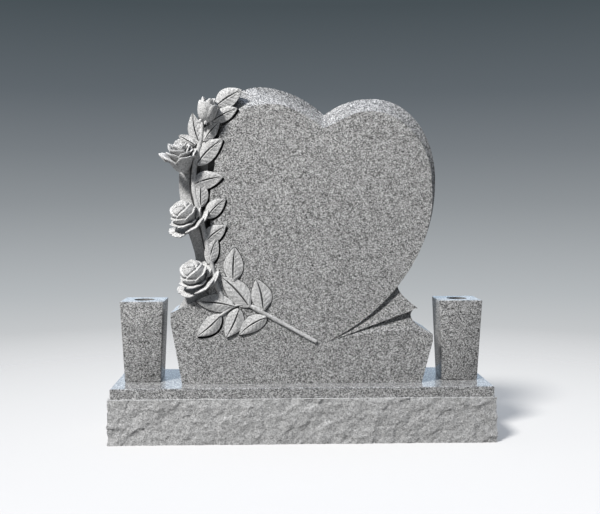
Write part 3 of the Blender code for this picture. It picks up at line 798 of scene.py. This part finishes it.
def petal(centre, axes, radius, row, flare, seed, rows=14, columns=20):
    """A petal that rises from the root as a cup and turns out into a flared, wavy lip."""
    turn, half, reach, level, root = row
    facing, right, up = axes
    front = []
    back = []
    for k in range(columns + 1):
        u = 2 * k / columns - 1
        angle = math.radians(turn + half * u)
        out = right * math.cos(angle) + up * math.sin(angle)
        wave = sum(high * math.sin(turns * u + start * seed) for high, turns, start in PETAL_WAVES)
        drop, drop_power = PETAL_CORNER_DROP
        lip = level - drop * (level - root) * abs(u) ** drop_power + wave
        cut, cut_power = PETAL_CORNER_CUT
        far = reach * (1 - cut * abs(u) ** cut_power) + PETAL_WAVE_REACH * wave
        profile = ((PETAL_ROOT_REACH, root),
                   (far * flare * PETAL_FOOT[0], root + PETAL_FOOT[1]),
                   (far * flare * PETAL_NECK[0], lip + PETAL_NECK[1]),
                   (far, lip - PETAL_LIP_DROP))
        curve = bezier(profile, rows) + [Vector(profile[3])]
        top = []
        under = []
        for i, place in enumerate(curve):
            along = curve[min(i + 1, rows)] - curve[max(i - 1, 0)]
            outer = Vector((along.y, -along.x)).normalized()
            taper = PETAL_TAPER[0] + (PETAL_TAPER[1] - PETAL_TAPER[0]) * i / rows
            low = place + outer * (PETAL_THICKNESS / radius * taper)
            top.append(centre + (out * place.x + facing * place.y) * radius)
            under.append(centre + (out * low.x + facing * low.y) * radius)
        front.append(top)
        back.append(under)
    return closed_slab(front, back, CARVED)


def hill(place, form):
    """A smooth hill of (height, middle, width) at a place."""
    height, middle, width = form
    return height * math.exp(-((place - middle) / width) ** 2)


def flower_heart(centre, radius, axes, tall, segments=84, rings=60):
    """A rounded heart wrapped in petals, each ending in a raised lip with a groove behind it."""
    facing, right, up = axes
    shape = bmesh.new()
    bmesh.ops.create_uvsphere(shape, u_segments=segments, v_segments=rings, radius=1)
    for vertex in shape.verts:
        x, y, z = vertex.co
        polar = math.degrees(math.acos(max(-1.0, min(1.0, z))))
        turn = math.degrees(math.atan2(y, x))
        size = WRAP_CORE
        for number, (tip, faces) in enumerate(WRAPS):
            bend = WRAP_BEND * (1 - math.cos(math.radians(turn - faces))) ** WRAP_CURL
            past = polar - tip - bend
            layer = WRAP_FIRST + WRAP_STEP * number + hill(past, WRAP_RIM)
            cover = 1 / (1 + math.exp(-past / WRAP_EDGE))
            size += (max(size, layer) - size) * cover - hill(past, WRAP_GROOVE) * (1 - cover)
        vertex.co = centre + (right * x + up * y + facing * z * tall) * radius * size
    for face in shape.faces:
        face.material_index = CARVED
    return shape


def flower(kind, place, radius, lift, heart, axis):
    """A flower's heart, its stalk to the ground and its petals, as closed shapes."""
    rows, flare, tall, rise = KINDS[kind]
    centre = on_tablet(place, -lift)
    axes = flower_frame(axis)
    facing = axes[0]
    root = centre + facing * radius * min(row[4] for row in rows) * STALK_ROOT
    back_y = FACE_Y + GROUND_SINK + ROOT_OVERLAP
    back = Vector((root.x + radius * STALK_SHIFT[0], back_y, root.z + radius * STALK_SHIFT[1]))
    cup_radii = [radius * heart * CUP_RADII[0], radius * CUP_RADII[1]]
    shapes = [
        flower_heart(centre + facing * radius * rise, radius * heart, axes, tall),
        tube([root, back], [radius * share for share in STALK_RADII], 24),
        tube([centre, root], cup_radii, 24),
    ]
    for number, row in enumerate(rows):
        seed = number * PETAL_SEED_STEP + radius * FLOWER_SEED_STEP
        shapes.append(petal(centre, axes, radius, row, flare, seed))
    return shapes


def build_headstone(materials):
    """The tablet: its bodies joined, the cuts taken out and painted near-black as shade, and the
    carving added.
    """
    stone = make_object("headstone_stone", lower_body(steps=40), materials)
    ground = ground_body(steps=70, across_steps=24)
    combine(stone, [heart_body(steps=40), ground, fan_body(steps=50, across_steps=24)], "UNION")
    combine(stone, [leaf_cut(*item) for item in LEAVES] + [stem_cut(STEMS[0])], "DIFFERENCE")
    shapes = [leaf(*item) for item in LEAVES]
    shapes += [stem(points, thin) for points, thin in zip(STEMS, STEM_THINNESS)]
    shapes += [stem_web(points) for points in STEMS[1:]]
    for item in FLOWERS:
        shapes += flower(*item)
    combine(stone, shapes, "UNION")
    shade(stone, sharp_degrees=40)
    return stone


def build_vase(name, low, high, materials):
    """A tapered square vase with eased edges and a round bore."""
    half_top = (high.x - low.x) / 2
    half_foot = half_top * VASE_TAPER
    height = high.z - low.z
    middle = (low + high) / 2
    corners = ((-1, -1), (1, -1), (1, 1), (-1, 1))
    rings = [[Vector((middle.x + x * half, middle.y + y * half, low.z + z)) for x, y in corners]
             for half, z in ((half_foot, 0), (half_top, height))]
    shape = closed_rings(rings, (POLISHED,) * 3)
    bmesh.ops.bevel(shape, geom=list(shape.edges), offset=VASE_ARRIS, segments=3, profile=0.5,
                    affect="EDGES")
    vase = make_object(name, shape, materials)
    bore = bmesh.new()
    place = Matrix.Translation((middle.x, middle.y, high.z))
    bmesh.ops.create_cone(bore, cap_ends=True, segments=64, radius1=VASE_BORE_DIAMETER / 2,
                          radius2=VASE_BORE_DIAMETER / 2, depth=VASE_BORE_DEPTH * 2, matrix=place)
    for face in bore.faces:
        face.material_index = CARVED
    combine(vase, [bore], "DIFFERENCE")
    shade(vase, sharp_degrees=30)
    return vase


def break_facets(along, z, size, seed):
    """Tilted flats that meet in slanting ledges, as split stone breaks."""
    slant = math.radians(ROCK_SLANT)
    spot = Vector(((along * math.cos(slant) + z * math.sin(slant)) / size * ROCK_STRETCH,
                   (z * math.cos(slant) - along * math.sin(slant)) / size, seed))
    distances, points = noise.voronoi(spot)
    place = points[0] * LEAN_PITCH
    lean = Vector([noise.noise(place + shift) for shift in LEAN_SHIFTS])
    away = spot - points[0]
    return lean.z * FLAT_STEP + away.x * lean.x + away.y * lean.y + FLAT_RISE * distances[0]


def rock_relief(along, z):
    """How far the split face stands out, from 0 to 1."""
    bend = ROCK_BEND * noise.noise(Vector((along * ROCK_BEND_PITCH, z * ROCK_BEND_PITCH, 3)))
    height = ROCK_MIDDLE
    for way, (share, size, seed) in zip((1, -1), ROCK_FLATS):
        height += share * break_facets(along + way * bend, z - way * bend, size, seed)
    for share, pitch, roughness, level in ROCK_BREAKS:
        spot = Vector((along * pitch, z * pitch, level))
        height += share * noise.fractal(spot, roughness, 2.0, 3)
    return min(1.0, max(ROCK_LOWEST, height))


def build_base(materials):
    """A polished top and margin, and a split rock face below, on all four sides."""
    half_length = (BASE_HIGH.x - BASE_LOW.x) / 2 - ROCK_PROUD
    half_depth = (BASE_HIGH.y - BASE_LOW.y) / 2 - ROCK_PROUD
    top = BASE_HIGH.z
    corners = ((-half_length, -half_depth), (half_length, -half_depth),
               (half_length, half_depth), (-half_length, half_depth))
    outward = ((0, -1), (1, 0), (0, 1), (-1, 0))
    edge = []
    for k in range(4):
        start = Vector(corners[k])
        end = Vector(corners[(k + 1) % 4])
        count = round((end - start).length / ROCK_PITCH)
        for i in range(count):
            way = Vector(outward[k]) if i else Vector(outward[k]) + Vector(outward[k - 1])
            edge.append((start.lerp(end, i / count), way))
    rock_top = top - MARGIN_HEIGHT
    rows = round(rock_top / ROCK_PITCH)
    rings = []
    for row in range(rows + 1):
        z = rock_top * row / rows
        ring = []
        for point, way in edge:
            along = point.x + ROCK_CORNER_TURN * point.y
            out = rock_relief(along, z) * ROCK_PROUD
            ring.append(Vector((point.x + way.x * out, point.y + way.y * out, z)))
        rings.append(ring)
    for z in (rock_top + MARGIN_LEDGE, top - ARRIS):
        rings.append([Vector((p.x, p.y, z)) for p, _ in edge])
    eased = (1 - ARRIS / half_length, 1 - ARRIS / half_depth)
    rings.append([Vector((p.x * eased[0], p.y * eased[1], top)) for p, _ in edge])
    finishes = (CARVED,) * (rows + 2) + (POLISHED,) * 3
    base = make_object("base_stone", closed_rings(rings, finishes), materials)
    shade(base, sharp_degrees=35)
    return base


def add_node(tree, kind, values=()):
    """A shader node with constants on its own inputs."""
    node = tree.nodes.new("ShaderNode" + kind)
    for name, value in values:
        node.inputs[name].default_value = value
    return node


def join(tree, links):
    """Links given as (node, its output, next node, its input)."""
    for node, outlet, target, inlet in links:
        tree.links.new(node.outputs[outlet], target.inputs[inlet])


def grey(level):
    return (level, level, level, 1.0)


def granite(name, light, middle, dark, roughness, dark_stop, pits):
    """Crystals of three greys about two millimetres across, with finer grains between them."""
    material = bpy.data.materials.new(name)
    material.use_nodes = True
    tree = material.node_tree
    shader = tree.nodes["Principled BSDF"]
    place = add_node(tree, "TexCoord")
    warp = add_node(tree, "TexNoise", (("Scale", WARP_SCALE), ("Detail", 2.0)))
    shift = add_node(tree, "VectorMath")
    shift.operation = "MULTIPLY_ADD"
    shift.inputs[1].default_value = (WARP_REACH, WARP_REACH, WARP_REACH)
    crystals = add_node(tree, "TexVoronoi", (("Scale", CRYSTAL_SCALE),))
    grains = add_node(tree, "TexVoronoi", (("Scale", GRAIN_SCALE),))
    clusters = add_node(tree, "TexVoronoi", (("Scale", CLUSTER_SCALE),))
    crystal_parts, grain_parts, cluster_parts = (add_node(tree, "SeparateColor") for _ in range(3))
    blend = add_node(tree, "Mix", (("Factor", GRAIN_SHARE),))
    gather = add_node(tree, "Mix", (("Factor", CLUSTER_SHARE),))
    ramp = add_node(tree, "ValToRGB")
    stops = ramp.color_ramp.elements
    stops[0].position, stops[0].color = dark_stop, grey(dark)
    stops[1].position, stops[1].color = LIGHT_STOP, grey(light)
    stops.new(MIDDLE_STOP).color = grey(middle)
    clouds = add_node(tree, "TexNoise", (("Scale", CLOUD_SCALE), ("Detail", 3.0)))
    cloud_range = add_node(tree, "MapRange", (
        ("From Min", CLOUD_SPREAD[0]), ("From Max", CLOUD_SPREAD[1]),
        ("To Min", 1 - CLOUD_SHARE), ("To Max", 1 + CLOUD_SHARE)))
    tint = add_node(tree, "Mix")
    tint.data_type = "RGBA"
    tint.blend_type = "MULTIPLY"
    tint.inputs["Factor"].default_value = 1.0
    gloss = add_node(tree, "MapRange", (("To Min", roughness * GLOSS_RANGE[0]),
                                        ("To Max", min(1.0, roughness * GLOSS_RANGE[1]))))
    join(tree, (
        (place, "Object", warp, "Vector"),
        (warp, "Color", shift, 0),
        (place, "Object", shift, 2),
        (shift, "Vector", crystals, "Vector"),
        (place, "Object", grains, "Vector"),
        (shift, "Vector", clusters, "Vector"),
        (crystals, "Color", crystal_parts, "Color"),
        (grains, "Color", grain_parts, "Color"),
        (clusters, "Color", cluster_parts, "Color"),
        (crystal_parts, "Red", blend, "A"),
        (grain_parts, "Green", blend, "B"),
        (blend, "Result", gather, "A"),
        (cluster_parts, "Blue", gather, "B"),
        (gather, "Result", ramp, "Fac"),
        (place, "Object", clouds, "Vector"),
        (clouds, "Fac", cloud_range, "Value"),
        (ramp, "Color", tint, "A"),
        (cloud_range, "Result", tint, "B"),
        (tint, "Result", shader, "Base Color"),
        (blend, "Result", gloss, "Value"),
        (gloss, "Result", shader, "Roughness"),
    ))
    if pits:
        height, scale = pits
        rough = add_node(tree, "TexNoise", (("Scale", scale), ("Detail", 4.0)))
        bump = add_node(tree, "Bump", (("Strength", PIT_STRENGTH), ("Distance", height)))
        join(tree, (
            (place, "Object", rough, "Vector"),
            (rough, "Fac", bump, "Height"),
            (bump, "Normal", shader, "Normal"),
        ))
    return material


def build_floor():
    """A pale floor that fades into the room's colour far from the stone, with no horizon.

    The camera sees it at its own shade, and it throws less light back on the stones.
    """
    shape = bmesh.new()
    bmesh.ops.create_circle(shape, cap_ends=True, segments=96, radius=FLOOR_FADE[1] + FLOOR_MARGIN)
    mesh = bpy.data.meshes.new("floor")
    shape.to_mesh(mesh)
    shape.free()
    floor = bpy.data.objects.new("floor", mesh)
    floor.location = FLOOR_CENTRE
    bpy.context.scene.collection.objects.link(floor)
    paper = bpy.data.materials.new("pale_floor")
    paper.use_nodes = True
    tree = paper.node_tree
    shader = tree.nodes["Principled BSDF"]
    shader.inputs["Roughness"].default_value = FLOOR_ROUGHNESS
    shader.inputs["Specular IOR Level"].default_value = 0.0
    path = add_node(tree, "LightPath")
    shade_of = add_node(tree, "MapRange", (("To Min", FLOOR_BOUNCE), ("To Max", FLOOR_SHADE)))
    place = add_node(tree, "TexCoord")
    far = add_node(tree, "VectorMath")
    far.operation = "LENGTH"
    fade = add_node(tree, "MapRange", (("From Min", FLOOR_FADE[0]), ("From Max", FLOOR_FADE[1])))
    clear = add_node(tree, "BsdfTransparent")
    mix = add_node(tree, "MixShader")
    join(tree, (
        (path, "Is Camera Ray", shade_of, "Value"),
        (shade_of, "Result", shader, "Base Color"),
        (place, "Object", far, 0),
        (far, "Value", fade, "Value"),
        (fade, "Result", mix, "Fac"),
        (shader, "BSDF", mix, 1),
        (clear, "BSDF", mix, 2),
        (mix, "Shader", tree.nodes["Material Output"], "Surface"),
    ))
    mesh.materials.append(paper)
    return floor


def build_room():
    """The room's colour by height, at full strength to the camera and weaker on the stones."""
    world = bpy.data.worlds.new("soft_studio")
    bpy.context.scene.world = world
    world.use_nodes = True
    tree = world.node_tree
    background = tree.nodes["Background"]
    place = add_node(tree, "TexCoord")
    split = add_node(tree, "SeparateXYZ")
    height_of = add_node(tree, "MapRange", (("From Min", ROOM_LOW), ("From Max", 1.0)))
    ramp = add_node(tree, "ValToRGB")
    elements = ramp.color_ramp.elements
    spots = [((height - ROOM_LOW) / (1.0 - ROOM_LOW), colour) for height, colour in ROOM_BANDS]
    elements[0].position, elements[0].color = spots[0]
    elements[1].position, elements[1].color = spots[-1]
    for spot, colour in spots[1:-1]:
        elements.new(spot).color = colour
    path = add_node(tree, "LightPath")
    strength_of = add_node(tree, "MapRange", (("To Min", ROOM_FILL), ("To Max", 1.0)))
    join(tree, (
        (place, "Generated", split, "Vector"),
        (split, "Z", height_of, "Value"),
        (height_of, "Result", ramp, "Fac"),
        (ramp, "Color", background, "Color"),
        (path, "Is Camera Ray", strength_of, "Value"),
        (strength_of, "Result", background, "Strength"),
    ))


def add_light(name, light, things):
    """A light that only reaches the given things."""
    item = bpy.data.objects.new(name, light)
    lit = bpy.data.collections.new(name + "_reaches")
    for thing in things:
        lit.objects.link(thing)
    item.light_linking.receiver_collection = lit
    item.visible_camera = False
    bpy.context.scene.collection.objects.link(item)
    return item


def aimed(place, target):
    """The turn that points a light from its place at the target."""
    return (Vector(target) - Vector(place)).to_track_quat("-Z", "Y").to_euler()


def build_light(stones, floor):
    """A key from the upper left, the floor's own light, and a pale card behind for the polish."""
    key = bpy.data.lights.new("key", "AREA")
    key.size = KEY_SIZE
    key.energy = KEY_POWER
    key.color = KEY_COLOUR
    item = add_light("key", key, stones)
    item.location = KEY_PLACE
    item.rotation_euler = aimed(KEY_PLACE, KEY_AIM)
    item.visible_glossy = False
    sun = bpy.data.lights.new("floor_light", "SUN")
    sun.energy = FLOOR_LIGHT_STRENGTH
    sun.color = FLOOR_LIGHT_COLOUR
    sun.angle = math.radians(FLOOR_LIGHT_ANGLE)
    item = add_light("floor_light", sun, [floor])
    across, up = (math.radians(turn) for turn in FLOOR_LIGHT_TURN)
    item.rotation_euler = (across, up, 0)
    card = bpy.data.lights.new("sky_card", "AREA")
    card.shape = "RECTANGLE"
    card.size, card.size_y = CARD_SIZE
    card.energy = CARD_POWER
    card.color = CARD_COLOUR
    item = add_light("sky_card", card, stones)
    item.location = CARD_PLACE
    item.rotation_euler = (math.radians(-90), 0, 0)


def build_camera():
    """The photo's viewpoint, with its pixel focal length turned into millimetres."""
    level = math.cos(CAMERA_PITCH)
    ahead = Vector((math.sin(CAMERA_YAW) * level, math.cos(CAMERA_YAW) * level,
                    -math.sin(CAMERA_PITCH)))
    right = Vector((math.cos(CAMERA_YAW), -math.sin(CAMERA_YAW), 0))
    up = right.cross(ahead)
    turned_right = right * math.cos(CAMERA_ROLL) + up * math.sin(CAMERA_ROLL)
    turned_up = up * math.cos(CAMERA_ROLL) - right * math.sin(CAMERA_ROLL)
    lens = bpy.data.cameras.new("photo_camera")
    lens.sensor_width = SENSOR_WIDTH
    lens.lens = FOCAL_PIXELS / IMAGE_WIDTH * SENSOR_WIDTH
    camera = bpy.data.objects.new("photo_camera", lens)
    matrix = Matrix((turned_right, turned_up, -ahead)).transposed().to_4x4()
    matrix.translation = CAMERA_PLACE
    camera.matrix_world = matrix
    bpy.context.scene.collection.objects.link(camera)
    bpy.context.scene.camera = camera


def dress(piece, node):
    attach(piece, "root")
    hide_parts(node)


def main():
    bpy.context.scene.view_settings.view_transform = "Standard"
    polished, frosted, painted, rock, bored = (
        granite(name, *values) for name, values in FINISHES.items())
    stones = [build_headstone((polished, frosted, painted)), build_base((polished, rock))]
    dress(stones[0], "headstone")
    dress(stones[1], "base")
    for node in ("left_vase", "right_vase"):
        low, high = (Vector(corner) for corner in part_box(node))
        stones.append(build_vase(node + "_stone", low, high, (polished, bored)))
        dress(stones[-1], node)
    build_room()
    build_light(stones, build_floor())
    build_camera()


main()
